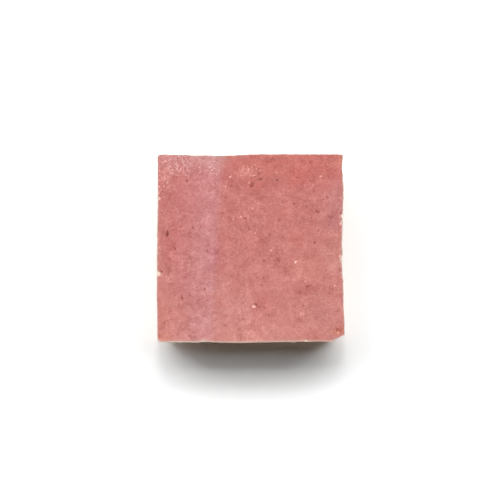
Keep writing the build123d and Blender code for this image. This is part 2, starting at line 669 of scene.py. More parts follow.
    def _back_points(self, foot: np.ndarray) -> np.ndarray:
        """Scatters loose points inside the edge of the back, in staggered rows.

        Args:
            foot: the points along its edge.

        Returns:
            The loose points.
        """
        low = foot.min(axis=0)[:2] + self.back_clearance
        high = foot.max(axis=0)[:2] - self.back_clearance
        places = []
        rise = self.back_spacing * math.sqrt(3) / 2
        for row, north in enumerate(np.arange(low[1], high[1], rise)):
            east = np.arange(low[0] + (row % 2) * self.back_spacing / 2, high[0], self.back_spacing)
            places.extend((x, north) for x in east)
        draw = np.random.default_rng(self.seed + 1)
        spread = draw.uniform(-1, 1, (len(places), 2)) * self.back_spacing * self.back_scatter
        places = np.array(places) + spread
        places = places[[self._inside(place, foot) for place in places]]
        return np.column_stack((places, np.zeros(len(places))))

    def _inside(self, place: np.ndarray, foot: np.ndarray) -> bool:
        """Tells whether a place is inside the edge of the back, clear of it.

        Args:
            place: the place's x and y.
            foot: the points along the edge.

        Returns:
            Whether it is.
        """
        way = place - self.face.middle
        distance = np.linalg.norm(way)
        if distance < self.back_middle:
            return True
        edge = self.solid.flank(self.face.middle, way / distance, self.base_height)
        nearest = np.linalg.norm(foot[:, :2] - place, axis=1).min()
        return bool(np.linalg.norm(edge - self.face.middle) > distance and nearest > self.back_clearance)

    def _cover_back(self, foot: np.ndarray) -> None:
        """Closes the back with triangles.

        Args:
            foot: the numbers of the points along its edge, which come just before those inside it.
        """
        numbers = np.concatenate((foot, np.arange(foot[-1] + 1, len(self.points))))
        places = [Vector((x, y)) for x, y in self.points[numbers, :2] / MM]
        result = delaunay_2d_cdt(places, [], [list(range(len(foot)))], 1, self.back_weld)
        originals = [found[0] for found in result[3]]
        for triangle in result[2]:
            corners = [int(numbers[originals[corner]]) for corner in triangle][::-1]
            self._cover(corners, BACK_PATCH.spot(self.points[corners, :2]))

    def _marked(self, marks: tuple[Mark, ...]) -> np.ndarray:
        """Puts marks on the points of the face, each long in a way of its own.

        Args:
            marks: the marks.

        Returns:
            How much of any of them each point has.
        """
        draw = np.random.default_rng(self.seed + 2)
        stretches = draw.uniform(1.0, self.most_stretch, len(marks))
        turns = draw.uniform(0.0, math.pi, len(marks))
        shades = [mark.shade(self.points, s, t) for mark, s, t in zip(marks, stretches, turns)]
        return np.where(self.rim > 0, np.max(shades, axis=0), 0.0)

    def _object(self, name: str) -> bpy.types.Object:
        """Makes the mesh object from the gathered points, polygons and map.

        Args:
            name: its name.

        Returns:
            The object.
        """
        mesh = bpy.data.meshes.new(name)
        mesh.from_pydata(self.points.tolist(), [], self.polygons)
        marks = {RIM: self.rim, CHIP: self.chip, HAND_PIT: self._marked(PITS), GLINT: self._marked(GLINTS)}
        for label, values in marks.items():
            layer = mesh.attributes.new(label, "FLOAT", "POINT")
            layer.data.foreach_set("value", values.astype(np.float32))
        uv = mesh.uv_layers.new(name=UV_NAME)
        uv.uv.foreach_set("vector", np.array(self.maps, np.float32).ravel())
        mesh.polygons.foreach_set("use_smooth", np.ones(len(mesh.polygons), bool))
        mesh.update()
        piece = bpy.data.objects.new(name, mesh)
        bpy.context.scene.collection.objects.link(piece)
        return piece


# Relief


@dataclass(frozen=True)
class FiredRelief:
    """Fine relief of the fired tile, grown over its skin by a geometry node tree.

    The glaze gets a slow swell, an orange-peel ripple, scattered pits and grit. The bare clay
    gets torn facets, chips and grain, and its edge is nibbled. The fields are the tree's inputs.
    """

    ripple_height: float = 0.045 * MM
    ripple_length: float = 7.0 * MM
    peel_height: float = 0.029 * MM
    peel_length: float = 2.2 * MM
    pit_spacing: float = 7.0 * MM
    pit_radius: float = 0.95 * MM
    pit_depth: float = 0.13 * MM
    pit_share: float = 0.55
    hand_pit_depth: float = 0.24 * MM
    grit_spacing: float = 2.8 * MM
    grit_radius: float = 0.75 * MM
    grit_height: float = 0.06 * MM
    spot_margin: float = 0.6 * MM
    spot_least: float = 0.2
    facet_length: float = 4.2 * MM
    facet_slope: float = 0.42
    chip_length: float = 1.7 * MM
    chip_slope: float = 0.34
    grain_height: float = 0.16 * MM
    grain_length: float = 1.2 * MM
    nibble_height: float = 0.14 * MM
    nibble_length: float = 1.5 * MM
    nibble_full: float = 0.4 * MM
    tear_begin: float = 0.1 * MM
    tear_whole: float = 0.5 * MM
    tear_least: float = 0.15
    tear_start: float = 1.0 * MM
    tear_full: float = 3.8 * MM
    face_fade: float = 1.1 * MM
    density_most: float = 9.0e5
    seed: int = 7

    def grow(self, piece: bpy.types.Object, finish: bpy.types.Material) -> bpy.types.Object:
        """Grows the relief and turns the result into a plain mesh.

        Args:
            piece: the skin.
            finish: the material that the tree sets.

        Returns:
            The same object, with the relief in its mesh.
        """
        tree, sockets = self._tree()
        modifier = piece.modifiers.new("fired_relief", "NODES")
        modifier.node_group = tree
        for name, identifier in sockets.items():
            modifier[identifier] = finish if name == "Finish" else getattr(self, name)
        evaluated = piece.evaluated_get(bpy.context.evaluated_depsgraph_get())
        grown = bpy.data.meshes.new_from_object(evaluated)
        piece.modifiers.remove(modifier)
        plain = piece.data
        piece.data = grown
        grown.name = piece.name
        bpy.data.meshes.remove(plain)
        return piece

    def _tree(self) -> tuple[bpy.types.NodeTree, dict[str, str]]:
        """Builds the node tree.

        Returns:
            The tree, and the identifier of each of its inputs by name.
        """
        tree = bpy.data.node_groups.new("fired_relief", "GeometryNodeTree")
        tree.interface.new_socket("Geometry", in_out="INPUT", socket_type="NodeSocketGeometry")
        kinds = {name: "NodeSocketFloat" for name in self.__dataclass_fields__}
        kinds.update(seed="NodeSocketInt", Finish="NodeSocketMaterial")
        sockets = {
            name: tree.interface.new_socket(name, in_out="INPUT", socket_type=kind).identifier
            for name, kind in kinds.items()
        }
        tree.interface.new_socket("Geometry", in_out="OUTPUT", socket_type="NodeSocketGeometry")
        wiring = Wiring(tree)
        given = wiring.add("NodeGroupInput", {}).outputs
        real = wiring.add("GeometryNodeRealizeInstances", {0: self._shaped(wiring, given)})
        feeds = {"Geometry": real.outputs[0], "Material": given["Finish"]}
        dressed = wiring.add("GeometryNodeSetMaterial", feeds)
        wiring.add("NodeGroupOutput", {0: dressed.outputs[0]})
        return tree, sockets

    def _shaped(self, wiring: Wiring, given: bpy.types.NodeOutputs) -> Socket:
        """Stores the pits and moves the skin's points.

        Args:
            wiring: the tree's wiring.
            given: the tree's inputs.

        Returns:
            The shaped geometry.
        """
        wiring.place = wiring.add("GeometryNodeInputPosition", {}).outputs[0]
        rim, hand_pit, glint = (self._named(wiring, name) for name in (RIM, HAND_PIT, GLINT))
        over_glaze = wiring.ramp(rim, 0.0, given["face_fade"])
        pit = wiring.times(self._scattered(wiring, given, rim, "pit", 0), given["pit_share"], over_glaze)
        grit = wiring.times(self._scattered(wiring, given, rim, "grit", 1), over_glaze)
        lift = wiring.plus(
            self._uneven(wiring, given, "ripple", shift=0.3),
            self._uneven(wiring, given, "peel", shift=0.8),
            wiring.times(grit, given["grit_height"]),
            wiring.times(glint, given["grit_height"]),
        )
        sink = wiring.times(hand_pit, given["hand_pit_depth"])
        sink = wiring.plus(wiring.times(pit, given["pit_depth"]), sink)
        lift = wiring.times(wiring.maths("SUBTRACT", lift, sink), over_glaze)
        below = wiring.times(rim, -1.0)
        torn = wiring.ramp(below, given["tear_start"], given["tear_full"], given["tear_least"], 1.0)
        torn = wiring.times(torn, wiring.ramp(below, given["tear_begin"], given["tear_whole"]))
        grain = self._uneven(wiring, given, "grain", detail=2.0, roughness=0.6, shift=0.5)
        facets = wiring.plus(self._facets(wiring, given, "facet"), self._facets(wiring, given, "chip"))
        nibble = self._uneven(wiring, given, "nibble", shift=1.3)
        nibble = wiring.times(nibble, wiring.ramp(below, 0.0, given["nibble_full"]))
        rough = wiring.plus(wiring.times(wiring.plus(facets, grain), torn), nibble)
        normal = wiring.add("GeometryNodeInputNormal", {}).outputs[0]
        across = wiring.vector("SCALE", normal, scale=rough)
        up = wiring.add("ShaderNodeCombineXYZ", {"Z": lift}).outputs[0]
        moved = wiring.vector("ADD", wiring.vector("ADD", wiring.place, across), up)
        parts = wiring.add("ShaderNodeSeparateXYZ", {0: moved}).outputs
        level = wiring.maths("MAXIMUM", parts["Z"], 0.0)
        kept = wiring.add("ShaderNodeCombineXYZ", {"X": parts["X"], "Y": parts["Y"], "Z": level})
        every_pit = wiring.maths("MAXIMUM", pit, hand_pit)
        feeds = {"Geometry": given["Geometry"], "Name": PIT, "Value": every_pit}
        stored = wiring.add("GeometryNodeStoreNamedAttribute", feeds, data_type="FLOAT", domain="POINT")
        feeds = {"Geometry": stored.outputs[0], "Position": kept.outputs[0]}
        return wiring.add("GeometryNodeSetPosition", feeds).outputs[0]

    def _named(self, wiring: Wiring, name: str) -> Socket:
        """A number that the skin carries, in the geometry tree."""
        return wiring.add("GeometryNodeInputNamedAttribute", {"Name": name}, data_type="FLOAT").outputs[0]

    def _uneven(
        self,
        wiring: Wiring,
        given: bpy.types.NodeOutputs,
        kind: str,
        detail: float = 1.0,
        roughness: float = 0.5,
        shift: float = 0.0,
    ) -> Socket:
        """Waves the surface unevenly, as far down as up.

        Args:
            wiring: the tree's wiring.
            given: the tree's inputs.
            kind: what the inputs for this unevenness begin with.
            detail: how many finer layers it has.
            roughness: how strong the finer layers are.
            shift: sets it apart from the others.

        Returns:
            The height.
        """
        pattern = wiring.noise(given[f"{kind}_length"], detail, roughness, shift)
        either_way = wiring.maths("MULTIPLY_ADD", pattern, 2.0, -1.0)
        return wiring.times(either_way, given[f"{kind}_height"])

    def _facets(self, wiring: Wiring, given: bpy.types.NodeOutputs, kind: str) -> Socket:
        """Breaks the surface into facets, each a flat bit of clay that leans its own way.

        Args:
            wiring: the tree's wiring.
            given: the tree's inputs.
            kind: what the inputs for these facets begin with.

        Returns:
            The height.
        """
        scale = wiring.maths("DIVIDE", 1.0, given[f"{kind}_length"])
        cells = wiring.add("ShaderNodeTexVoronoi", {"Vector": wiring.place, "Scale": scale}, feature="F1")
        lean = wiring.vector("SUBTRACT", cells.outputs["Color"], (0.5, 0.5, 0.5))
        offset = wiring.vector("SUBTRACT", wiring.place, cells.outputs["Position"])
        return wiring.times(wiring.vector("DOT_PRODUCT", offset, lean), given[f"{kind}_slope"])

    def _scattered(
        self, wiring: Wiring, given: bpy.types.NodeOutputs, rim: Feed, kind: str, number: int
    ) -> Socket:
        """Scatters round spots of uneven size over the glaze.

        Args:
            wiring: the tree's wiring.
            given: the tree's inputs.
            rim: the distance inside the crest.
            kind: what the inputs for this kind of spot begin with.
            number: a number of its own for each kind of spot.

        Returns:
            How much of a spot each place has, 0 to 1.
        """
        clear = {0: rim, 1: given["spot_margin"]}
        on_face = wiring.add("FunctionNodeCompare", clear, data_type="FLOAT", operation="GREATER_THAN")
        seed = wiring.plus(given["seed"], float(number))
        feeds = {
            "Mesh": given["Geometry"],
            "Selection": on_face.outputs[0],
            "Distance Min": given[f"{kind}_spacing"],
            "Density Max": given["density_most"],
            "Seed": seed,
        }
        scatter = wiring.add("GeometryNodeDistributePointsOnFaces", feeds, distribute_method="POISSON")
        spots = scatter.outputs["Points"]
        feeds = {"Geometry": spots, "Sample Position": wiring.place}
        nearest = wiring.add("GeometryNodeSampleNearest", feeds, domain="POINT").outputs[0]
        own_place = wiring.add("GeometryNodeInputPosition", {}).outputs[0]
        feeds = {2: given["spot_least"], 3: 1.0, "Seed": seed}
        own_size = wiring.add("FunctionNodeRandomValue", feeds, data_type="FLOAT").outputs[1]
        feeds = {"Geometry": spots, "Index": nearest}
        centre, size = (
            wiring.add("GeometryNodeSampleIndex", {**feeds, "Value": own}, data_type=form).outputs[0]
            for own, form in ((own_place, "FLOAT_VECTOR"), (own_size, "FLOAT"))
        )
        reach = wiring.times(size, given[f"{kind}_radius"])
        spot = wiring.ramp(wiring.vector("DISTANCE", wiring.place, centre), reach, 0.0)
        return wiring.times(spot, wiring.times(size, size))


# Finish


@dataclass(frozen=True)
class SoftSpot:
    """A soft oval spot on the face: its place and its reach either way, in millimetres."""

    x: float
    y: float
    reach_x: float
    reach_y: float

    def share(self, wiring: Wiring, place: Feed) -> Socket:
        """Works out how much of the spot each place has.

        Args:
            wiring: the material's wiring.
            place: where it is read.

        Returns:
            The share, 0 to 1.
        """
        offset = wiring.vector("SUBTRACT", place, (self.x * MM, self.y * MM, 0.0))
        shares = (1 / (self.reach_x * MM), 1 / (self.reach_y * MM), 0.0)
        return wiring.ramp(wiring.vector("LENGTH", wiring.vector("MULTIPLY", offset, shares)), 1.0, 0.0)


@dataclass(frozen=True)
class Bloom(SoftSpot):
    """A soft spot where the fired glaze took another tone."""

    tint: Colour


@dataclass(frozen=True)
class SugarPatch(SoftSpot):
    """A soft spot where pale crystals lie in the glaze, and how thickly they lie in its middle."""

    amount: float


@dataclass(frozen=True)
class Freckles:
    """One layer of small light and dark freckles: their size, depth and how much each colour takes."""

    length: float
    depth: float
    shift: float
    shares: Colour
    roughness: float = 0.55
    darkest: float = 0.25
    lightest: float = 0.75

    def tint(self, wiring: Wiring, strength: Feed) -> Socket:
        """Works out the tint that the freckles give, around 1.

        Args:
            wiring: the material's wiring.
            strength: how strong the freckles are there, 1 on average.

        Returns:
            The tint.
        """
        either_way = Fade(self.darkest, self.lightest, -self.depth, self.depth)
        pattern = Mottle(self.length, 2.0, self.roughness, self.shift, either_way)
        strength = wiring.times(pattern.read(wiring), strength)
        return wiring.vector("ADD", wiring.vector("SCALE", self.shares, scale=strength), (1.0, 1.0, 1.0))


@dataclass(frozen=True)
class Hairlines:
    """Fine curly lines in the glaze: the size of their curls, how wide they are and their tint."""

    curl: float
    half_width: float
    shift: float
    tint: Colour
    bits: Fade = Fade(0.42, 0.55)
    bits_shift: float = 3.0

    def share(self, wiring: Wiring) -> Socket:
        """Works out how much of a line each place has. The lines are broken into short bits.

        Args:
            wiring: the material's wiring.

        Returns:
            The share, 0 to 1.
        """
        pattern = Mottle(self.curl, 1.0, 0.5, self.shift).read(wiring)
        off_line = wiring.maths("ABSOLUTE", wiring.maths("SUBTRACT", pattern, 0.5))
        line = wiring.ramp(off_line, self.half_width / self.curl, 0.0)
        bits = Mottle(self.curl, 1.0, 0.5, self.shift + self.bits_shift, self.bits)
        return wiring.times(line, bits.read(wiring))


@dataclass(frozen=True)
class MilkyBandAndPaintedSheen:
    """The lavender band near the west side, with a wide haze west of it: milky glaze and painted sheen.

    It is firm on its east edge, soft on its west, strongest in the north, and it leans.
    """

    lean: float = -0.075
    follow: float = 0.3
    foot: Fade = Fade(-8.0 * MM, -34.0 * MM, 0.0, 1.2 * MM)
    east_edge: Fade = Fade(-16.2 * MM, -20.6 * MM)
    west_edge: Fade = Fade(-38.0 * MM, -24.0 * MM)
    haze_edge: Fade = Fade(-54.0 * MM, -30.0 * MM)
    fade: Fade = Fade(-42.0 * MM, 0.0, 0.2, 0.9)
    crown: Fade = Fade(28.0 * MM, 50.0 * MM, 1.0, 1.6)
    clouds: Mottle = Mottle(5.0 * MM, 2.0, 0.5, 1.7, Fade(0.25, 0.75, 0.7, 1.3))
    # Tints of the haze and the band: milky glaze, and a sheen painted into the colour
    haze_tint: Colour = (1.00, 1.04, 1.12)
    tint: Colour = (1.05, 1.20, 1.26)

    def stain(self, wiring: Wiring, colour: Feed, wander: Feed) -> Socket:
        """Stains a colour with the haze and the band: milky glaze and a painted sheen.

        Args:
            wiring: the material's wiring.
            colour: the colour.
            wander: how far the clouds bend each place.

        Returns:
            The stained colour.
        """
        near = wiring.vector("ADD", wiring.place, wiring.vector("SCALE", wander, scale=self.follow))
        parts = wiring.add("ShaderNodeSeparateXYZ", {0: near}).outputs
        across = wiring.maths("MULTIPLY_ADD", parts["Y"], self.lean, parts["X"])
        across = wiring.maths("SUBTRACT", across, self.foot.read(wiring, parts["Y"]))
        east_edge = self.east_edge.read(wiring, across)
        haze = wiring.times(east_edge, self.haze_edge.read(wiring, across))
        band = wiring.times(
            east_edge,
            self.west_edge.read(wiring, across),
            self.fade.read(wiring, parts["Y"]),
            self.crown.read(wiring, parts["Y"]),
            self.clouds.read(wiring),
        )
        return wiring.stain(band, wiring.stain(haze, colour, self.haze_tint), self.tint)


@dataclass(frozen=True)
class PinkGlaze:
    """Pink glaze: salmon pink, cloudy, freckled, a milky band with painted sheen, sugary patches and pits.
    """

    base: Colour = (0.5925, 0.1945, 0.172)
    slope_reach: float = 50.0 * MM
    north_tint: Colour = (0.978, 0.885, 0.882)
    south_tint: Colour = (1.010, 1.082, 1.056)
    cloud_length: float = 7.0 * MM
    cloud_detail: float = 3.0
    cloud_reach: float = 9.0 * MM
    blooms: tuple[Bloom, ...] = tuple(
        Bloom(*bloom[:4], bloom[4:])
        for bloom in (
            (22.0, 49.0, 46.0, 15.0, 1.00, 0.90, 0.85), (36.0, 40.0, 20.0, 13.0, 1.00, 0.90, 0.89),
            (-2.0, 43.0, 9.0, 9.0, 1.08, 1.12, 1.07), (-23.0, 49.0, 20.0, 9.0, 1.07, 1.35, 1.30),
            (25.0, 49.0, 8.0, 6.0, 1.04, 1.10, 1.12), (26.0, 37.0, 11.0, 9.0, 0.96, 0.83, 0.83),
            (-11.0, 37.0, 7.0, 8.0, 0.97, 0.87, 0.89), (-8.5, 46.0, 7.0, 8.0, 0.99, 0.91, 0.91),
            (-13.5, 24.5, 7.0, 9.0, 0.95, 0.89, 0.90), (-33.0, 20.0, 9.0, 11.0, 0.97, 0.92, 0.94),
            (-24.0, -2.5, 9.0, 9.0, 0.95, 0.88, 0.89), (-17.0, -20.0, 9.0, 9.0, 0.99, 1.05, 1.09),
            (3.0, 34.0, 10.0, 7.0, 0.96, 0.82, 0.80), (-41.0, 2.0, 10.0, 18.0, 0.95, 0.80, 0.84),
            (-40.0, 27.0, 13.0, 17.0, 0.99, 0.96, 1.00), (-18.0, -3.0, 9.0, 13.0, 0.95, 0.88, 0.97),
            (1.0, 4.0, 22.0, 18.0, 0.97, 0.92, 0.93), (15.0, -7.0, 8.0, 7.0, 0.96, 0.92, 0.92),
            (30.0, -10.0, 14.0, 13.0, 1.08, 1.12, 1.07), (31.0, -22.0, 11.0, 7.0, 0.91, 0.81, 0.81),
            (6.0, -31.0, 9.0, 9.0, 0.94, 0.81, 0.81),
            (2.0, -48.0, 34.0, 18.0, 1.10, 1.18, 1.17), (-7.0, -33.0, 14.0, 14.0, 1.12, 1.23, 1.31),
            (-43.0, -38.0, 16.0, 20.0, 1.03, 1.00, 0.94), (-22.0, -40.0, 17.0, 14.0, 1.06, 1.14, 1.20),
            (-36.0, -20.0, 14.0, 14.0, 0.99, 0.94, 0.97),
            (47.0, 25.0, 13.0, 17.0, 0.98, 1.12, 1.22), (43.0, 14.0, 9.0, 8.0, 0.90, 0.89, 0.95),
            (46.0, -3.0, 14.0, 22.0, 1.05, 1.21, 1.20), (38.0, -34.0, 17.0, 18.0, 0.98, 1.03, 1.04),
            (-44.0, 47.0, 17.0, 10.0, 1.06, 1.28, 1.38), (47.5, 48.0, 7.0, 6.0, 1.01, 1.08, 0.96),
            (-47.0, -48.5, 7.0, 6.0, 1.06, 1.09, 0.95),
            (9.0, 41.0, 9.0, 8.0, 0.99, 0.93, 0.91), (20.0, 38.0, 11.0, 9.0, 0.99, 0.92, 0.90),
            (1.0, 35.0, 5.0, 4.0, 0.95, 0.92, 0.91), (18.0, 20.0, 16.0, 12.0, 0.97, 0.94, 0.93),
            (30.0, -31.0, 12.0, 12.0, 1.04, 1.06, 1.05), (47.0, -43.5, 4.0, 4.0, 0.98, 0.84, 0.66),
            (-34.0, 45.5, 8.0, 7.0, 1.03, 1.13, 1.16), (45.5, -48.5, 6.0, 4.0, 1.00, 1.14, 1.20),
            (24.5, 5.0, 8.0, 8.0, 0.98, 0.88, 0.86), (5.0, -15.0, 7.0, 7.0, 1.07, 1.09, 1.09),
            (35.0, -45.0, 7.0, 7.0, 0.97, 0.91, 0.91),
        )
    )
    # Milky band with a painted sheen, a reflection painted into the colour
    band: MilkyBandAndPaintedSheen = MilkyBandAndPaintedSheen()
    freckle_strength: Mottle = Mottle(7.5 * MM, 2.0, 0.5, 4.4, Fade(0.3, 0.7, 0.45, 1.6))
    freckles: tuple[Freckles, ...] = (
        Freckles(6.5 * MM, 0.165, 0.4, (0.62, 1.0, 1.05)),
        Freckles(2.4 * MM, 0.085, 2.1, (0.60, 1.0, 1.04)),
        Freckles(0.9 * MM, 0.150, 3.3, (0.50, 1.0, 1.04)),
    )
    hairlines: tuple[Hairlines, ...] = (
        Hairlines(2.2 * MM, 0.24 * MM, 1.2, (0.93, 0.85, 0.84)),
        Hairlines(2.4 * MM, 0.24 * MM, 5.6, (1.07, 1.14, 1.14)),
    )
    sugar: tuple[SugarPatch, ...] = (
        SugarPatch(-40.0, 45.0, 20.0, 12.0, 1.1),
        SugarPatch(-46.0, 36.0, 8.0, 16.0, 0.75),
        SugarPatch(-22.0, 42.0, 12.0, 9.0, 0.8),
        SugarPatch(0.0, 41.5, 10.0, 7.0, 1.1),
        SugarPatch(2.0, 12.0, 18.0, 14.0, 0.35),
        SugarPatch(29.0, -16.0, 9.0, 8.0, 0.4),
    )
    sugar_everywhere: float = 0.22
    curls: Hairlines = Hairlines(2.5 * MM, 0.25 * MM, 9.7, (1.32, 1.76, 1.80))
    curls_fade: Fade = Fade(0.25, 0.9)
    crystals: Mottle = Mottle(0.95 * MM, 2.0, 0.6, 9.1, Fade(0.575, 0.69))
    most_crystals: float = 0.75
    pale_speck: Colour = (0.99, 0.66, 0.60)
    gaps: Mottle = Mottle(1.1 * MM, 2.0, 0.6, 7.4, Fade(0.60, 0.72))
    gaps_everywhere: float = 0.33
    gaps_in_sugar: float = 0.45
    dark_speck: Colour = (0.35, 0.075, 0.052)
    ragged: Mottle = Mottle(0.9 * MM, 2.0, 0.6, 2.9, Fade(0.34, 0.66, 0.5, 1.7))
    pit_fade: Fade = Fade(0.0, 0.90)
    pit_tint: Colour = (0.44, 0.15, 0.10)
    satin: Mottle = Mottle(3.5 * MM, 2.0, 0.5, 6.0, Fade(0.3, 0.7, 0.25, 0.39))
    skin: Mottle = Mottle(0.8 * MM, 2.0, 0.6, 7.7)
    skin_height: float = 0.045 * MM

    def colour(self, wiring: Wiring) -> Socket:
        """Works out the glaze's colour.

        Args:
            wiring: the material's wiring.

        Returns:
            The colour.
        """
        clouds = {"Vector": wiring.place, "Scale": 1 / self.cloud_length, "Detail": self.cloud_detail}
        warp = wiring.add("ShaderNodeTexNoise", clouds, noise_dimensions="3D").outputs["Color"]
        wander = wiring.vector("SUBTRACT", warp, (0.5, 0.5, 0.5))
        wander = wiring.vector("SCALE", wander, scale=self.cloud_reach)
        bent = wiring.vector("ADD", wiring.place, wander)
        colour = self._slope(wiring)
        for bloom in self.blooms:
            colour = wiring.stain(bloom.share(wiring, bent), colour, bloom.tint)
        # The band and its haze: milky glaze with a painted sheen
        colour = self.band.stain(wiring, colour, wander)
        strength = self.freckle_strength.read(wiring)
        for layer in self.freckles:
            colour = wiring.vector("MULTIPLY", colour, layer.tint(wiring, strength))
        for lines in self.hairlines:
            colour = wiring.stain(lines.share(wiring), colour, lines.tint)
        colour = self._sugared(wiring, colour)
        pit = wiring.times(wiring.carried(PIT), self.ragged.read(wiring))
        return wiring.stain(self.pit_fade.read(wiring, pit), colour, self.pit_tint)

    def _slope(self, wiring: Wiring) -> Socket:
        """Makes the base colour a little redder in the north and a little paler in the south.

        Args:
            wiring: the material's wiring.

        Returns:
            The colour.
        """
        northing = wiring.add("ShaderNodeSeparateXYZ", {0: wiring.place}).outputs["Y"]
        feeds = {0: northing, 1: -self.slope_reach, 2: self.slope_reach}
        share = wiring.add("ShaderNodeMapRange", feeds).outputs[0]
        tint = wiring.colour_mix(share, opaque(self.south_tint), opaque(self.north_tint))
        return wiring.vector("MULTIPLY", self.base, tint)

    def _sugared(self, wiring: Wiring, colour: Feed) -> Socket:
        """Adds pale curls and crystals, and the dark gaps between them.

        Args:
            wiring: the material's wiring.
            colour: the glaze's colour so far.

        Returns:
            The colour with them.
        """
        amount: Feed = self.sugar_everywhere
        for patch in self.sugar:
            more = wiring.times(patch.share(wiring, wiring.place), patch.amount)
            amount = wiring.maths("MAXIMUM", amount, more)
        curls = wiring.times(self.curls.share(wiring), self.curls_fade.read(wiring, amount))
        gaps = wiring.maths("MULTIPLY_ADD", amount, self.gaps_in_sugar, self.gaps_everywhere)
        gaps = wiring.maths("MULTIPLY", self.gaps.read(wiring), gaps, clamp=True)
        crystals = wiring.maths("MINIMUM", amount, self.most_crystals)
        crystals = wiring.maths("MULTIPLY", self.crystals.read(wiring), crystals, clamp=True)
        colour = wiring.stain(curls, colour, self.curls.tint)
        colour = wiring.colour_mix(gaps, colour, opaque(self.dark_speck))
        return wiring.colour_mix(crystals, colour, opaque(self.pale_speck))


@dataclass(frozen=True)
class BareClay:
    """Cream fired clay with darker grains, as the chips, the sides and the back bare it."""

    pale: Colour = (0.95, 0.73, 0.58)
    dull: Colour = (0.84, 0.58, 0.43)
    speck: Colour = (0.46, 0.29, 0.20)
    clouds: Mottle = Mottle(4.0 * MM, 3.0, 0.55, 0.9, Fade(0.3, 0.7))
    specks: Mottle = Mottle(0.9 * MM, 2.0, 0.6, 4.2, Fade(0.62, 0.78, 0.0, 0.7))
    roughness: float = 0.86
    grain: Mottle = Mottle(0.55 * MM, 3.0, 0.65, 8.8)
    grain_height: float = 0.20 * MM

    def colour(self, wiring: Wiring) -> Socket:
        """The clay's colour."""
        colour = wiring.colour_mix(self.clouds.read(wiring), opaque(self.pale), opaque(self.dull))
        return wiring.colour_mix(self.specks.read(wiring), colour, opaque(self.speck))


@dataclass(frozen=True)
class TileFinish:
    """The whole finish of the tile: glaze inside the crest, bare clay outside it."""

    glaze: PinkGlaze = PinkGlaze()
    clay: BareClay = BareClay()
    ior: float = 1.5
    wander: Mottle = Mottle(0.9 * MM, 2.0, 0.6, 5.1)
    edge_wander: float = 0.10 * MM
    edge_softness: float = 0.05 * MM
    edge_fade: float = 1.3 * MM
    edge_tint: Colour = (1.01, 1.22, 1.22)
    # Painted highlight of the glints: pale pink, then white where a glint is strongest
    blush_fade: Fade = Fade(0.06, 0.30)
    painted_glint_blush: Colour = (0.95, 0.44, 0.385)
    white_fade: Fade = Fade(0.35, 0.75)
    painted_glint_white: Colour = (1.0, 0.80, 0.72)
    cream_fade: Fade = Fade(-2.6 * MM, -1.2 * MM, 0.0, 0.8)
    chip_cream: Colour = (1.0, 0.76, 0.66)
    thin_fade: Fade = Fade(-1.5 * MM, -0.5 * MM, 0.0, 0.92)
    thin_patches: Mottle = Mottle(2.2 * MM, 2.0, 0.55, 3.6, Fade(0.35, 0.65, 0.65, 1.0))
    thin_off_chips: Fade = Fade(0.7, 0.1)
    thin_glaze: Colour = (1.0, 0.60, 0.53)

    def material(self) -> bpy.types.Material:
        """Makes the material.

        Returns:
            The material.
        """
        material = bpy.data.materials.new("pink_glaze_on_clay")
        wiring = Wiring.fresh(material)
        wiring.place = wiring.add("ShaderNodeTexCoord", {}).outputs["Object"]
        wander = self.wander.read(wiring)
        wander = wiring.maths("MULTIPLY_ADD", wander, 2 * self.edge_wander, -self.edge_wander)
        edge = wiring.plus(wiring.carried(RIM), wander)
        glazed = wiring.ramp(edge, -self.edge_softness, self.edge_softness)
        clay, glaze = self._clay_colour(wiring, edge), self._glaze_colour(wiring, edge)
        feeds = {
            "Base Color": wiring.colour_mix(glazed, clay, glaze),
            "Roughness": wiring.number_mix(glazed, self.clay.roughness, self.glaze.satin.read(wiring)),
            "IOR": self.ior,
            "Normal": self._bump(wiring, glazed),
        }
        shader = wiring.add("ShaderNodeBsdfPrincipled", feeds)
        wiring.add("ShaderNodeOutputMaterial", {"Surface": shader.outputs[0]})
        return material

    def _glaze_colour(self, wiring: Wiring, edge: Feed) -> Socket:
        """Makes the glaze paler at its edge and adds the glints, highlights painted into the colour.

        Args:
            wiring: the material's wiring.
            edge: the distance inside the glaze's edge.

        Returns:
            The colour.
        """
        near_edge = wiring.ramp(edge, self.edge_fade, 0.0)
        colour = wiring.stain(near_edge, self.glaze.colour(wiring), self.edge_tint)
        # The glints: a painted highlight, pale pink and then white
        glint = wiring.carried(GLINT)
        colour = wiring.colour_mix(self.blush_fade.read(wiring, glint), colour, opaque(self.painted_glint_blush))
        return wiring.colour_mix(self.white_fade.read(wiring, glint), colour, opaque(self.painted_glint_white))

    def _clay_colour(self, wiring: Wiring, edge: Feed) -> Socket:
        """Makes the clay fresher in the chips, and lays patchy thin glaze over the rest of the rim.

        Args:
            wiring: the material's wiring.
            edge: the distance inside the glaze's edge.

        Returns:
            The colour.
        """
        chip = wiring.carried(CHIP)
        fresh = wiring.times(chip, self.cream_fade.read(wiring, edge))
        colour = wiring.colour_mix(fresh, self.clay.colour(wiring), opaque(self.chip_cream))
        thin = wiring.times(
            self.thin_fade.read(wiring, edge),
            self.thin_patches.read(wiring),
            self.thin_off_chips.read(wiring, chip),
        )
        return wiring.colour_mix(thin, colour, opaque(self.thin_glaze))

    def _bump(self, wiring: Wiring, glazed: Feed) -> Socket:
        """Adds relief finer than the mesh: grain of the glaze, and coarser grain of the clay.

        Args:
            wiring: the material's wiring.
            glazed: how much each place is glazed.

        Returns:
            The normal.
        """
        skin = wiring.times(self.glaze.skin.read(wiring), self.glaze.skin_height)
        grain = wiring.times(self.clay.grain.read(wiring), self.clay.grain_height)
        height = wiring.number_mix(glazed, grain, skin)
        return wiring.add("ShaderNodeBump", {"Strength": 1.0, "Distance": 1.0, "Height": height}).outputs[0]


# Studio


class Reach(Enum):
    """What a lamp lights."""

    FLOOR = "floor_light"
    TILE = "tile_light"


